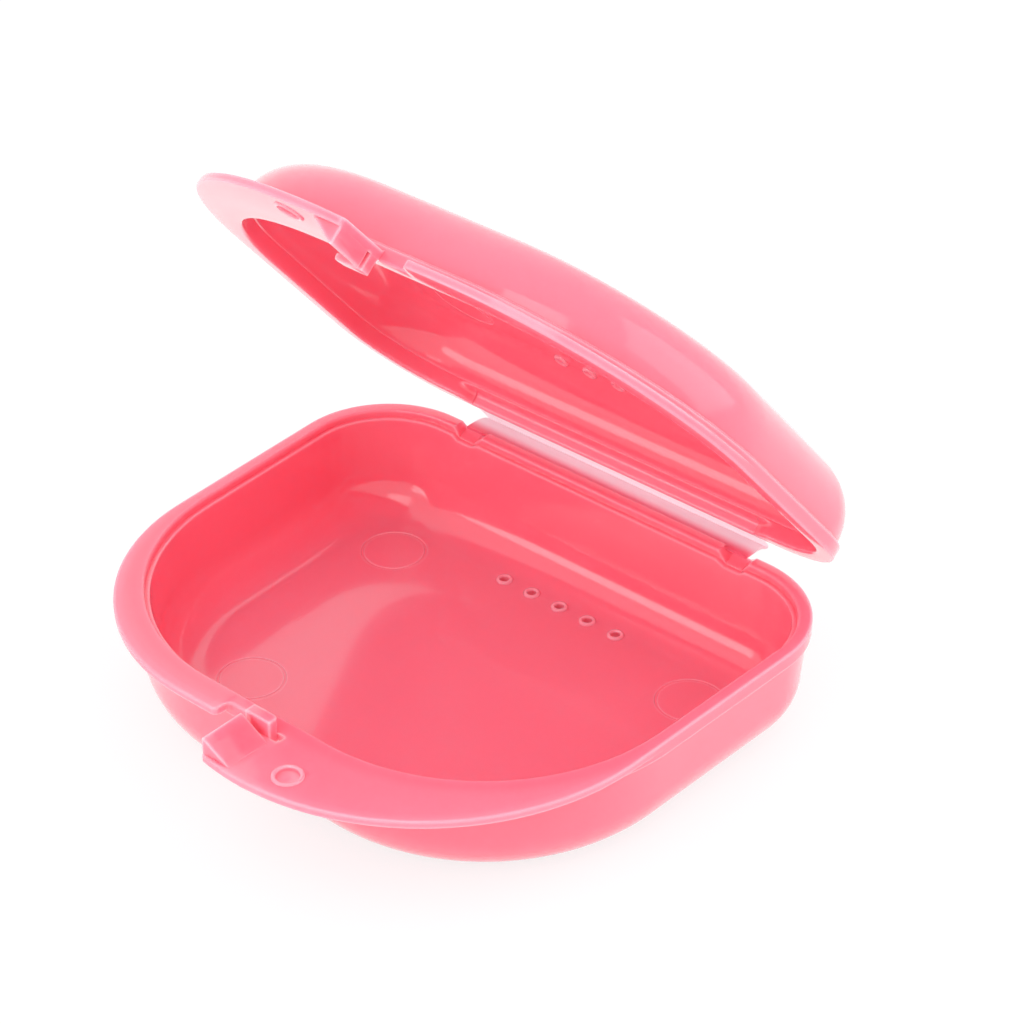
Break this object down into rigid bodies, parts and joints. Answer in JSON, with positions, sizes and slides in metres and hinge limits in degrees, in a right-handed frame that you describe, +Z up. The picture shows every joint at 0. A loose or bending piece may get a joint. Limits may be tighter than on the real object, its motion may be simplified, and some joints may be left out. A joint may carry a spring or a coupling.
{
  "type": "retainer case",
  "caption": "Small hinged plastic case for a dental retainer: a D-shaped tray and a domed lid on a folding strip hinge, with two thumb tabs and an interlocking finger latch.",
  "frame": {"origin": "middle of the tray's flat underside", "axes": "+X to the right, +Y towards the hinge, +Z up; the latch and the thumb tabs are at -Y"},
  "size_m": [0.0842, 0.0833, 0.0784],
  "materials": {
    "pink_plastic": "gloss",
    "pale_strip": "gloss"
  },
  "bodies": {
    "tray": {"base_tray": "pink_plastic", "base_rim": "pink_plastic", "base_thumb_tab": "pink_plastic", "base_latch_finger": "pink_plastic", "base_thumb_ramp": "pink_plastic", "base_grip_ring": "pink_plastic", "base_hinge_leaf": "pale_strip", "base_vent_collar_1": "pink_plastic", "base_vent_collar_2": "pink_plastic", "base_vent_collar_3": "pink_plastic", "base_vent_collar_4": "pink_plastic", "base_vent_collar_5": "pink_plastic"},
    "lid": {"lid_dome": "pink_plastic", "lid_rim": "pink_plastic", "lid_thumb_tab": "pink_plastic", "lid_latch_finger": "pink_plastic", "lid_thumb_ramp": "pink_plastic", "lid_grip_ring": "pink_plastic", "lid_hinge_leaf": "pale_strip", "lid_vent_collar_1": "pink_plastic", "lid_vent_collar_2": "pink_plastic", "lid_vent_collar_3": "pink_plastic", "lid_vent_collar_4": "pink_plastic", "lid_vent_collar_5": "pink_plastic"}
  },
  "joints": [
    {"name": "lid_hinge", "type": "hinge", "parent": "tray", "child": "lid", "pos_m": [0, 0.037, 0.0165], "axis": [-1, 0, 0], "range_deg": [-49.1, 130.9]}
  ]
}
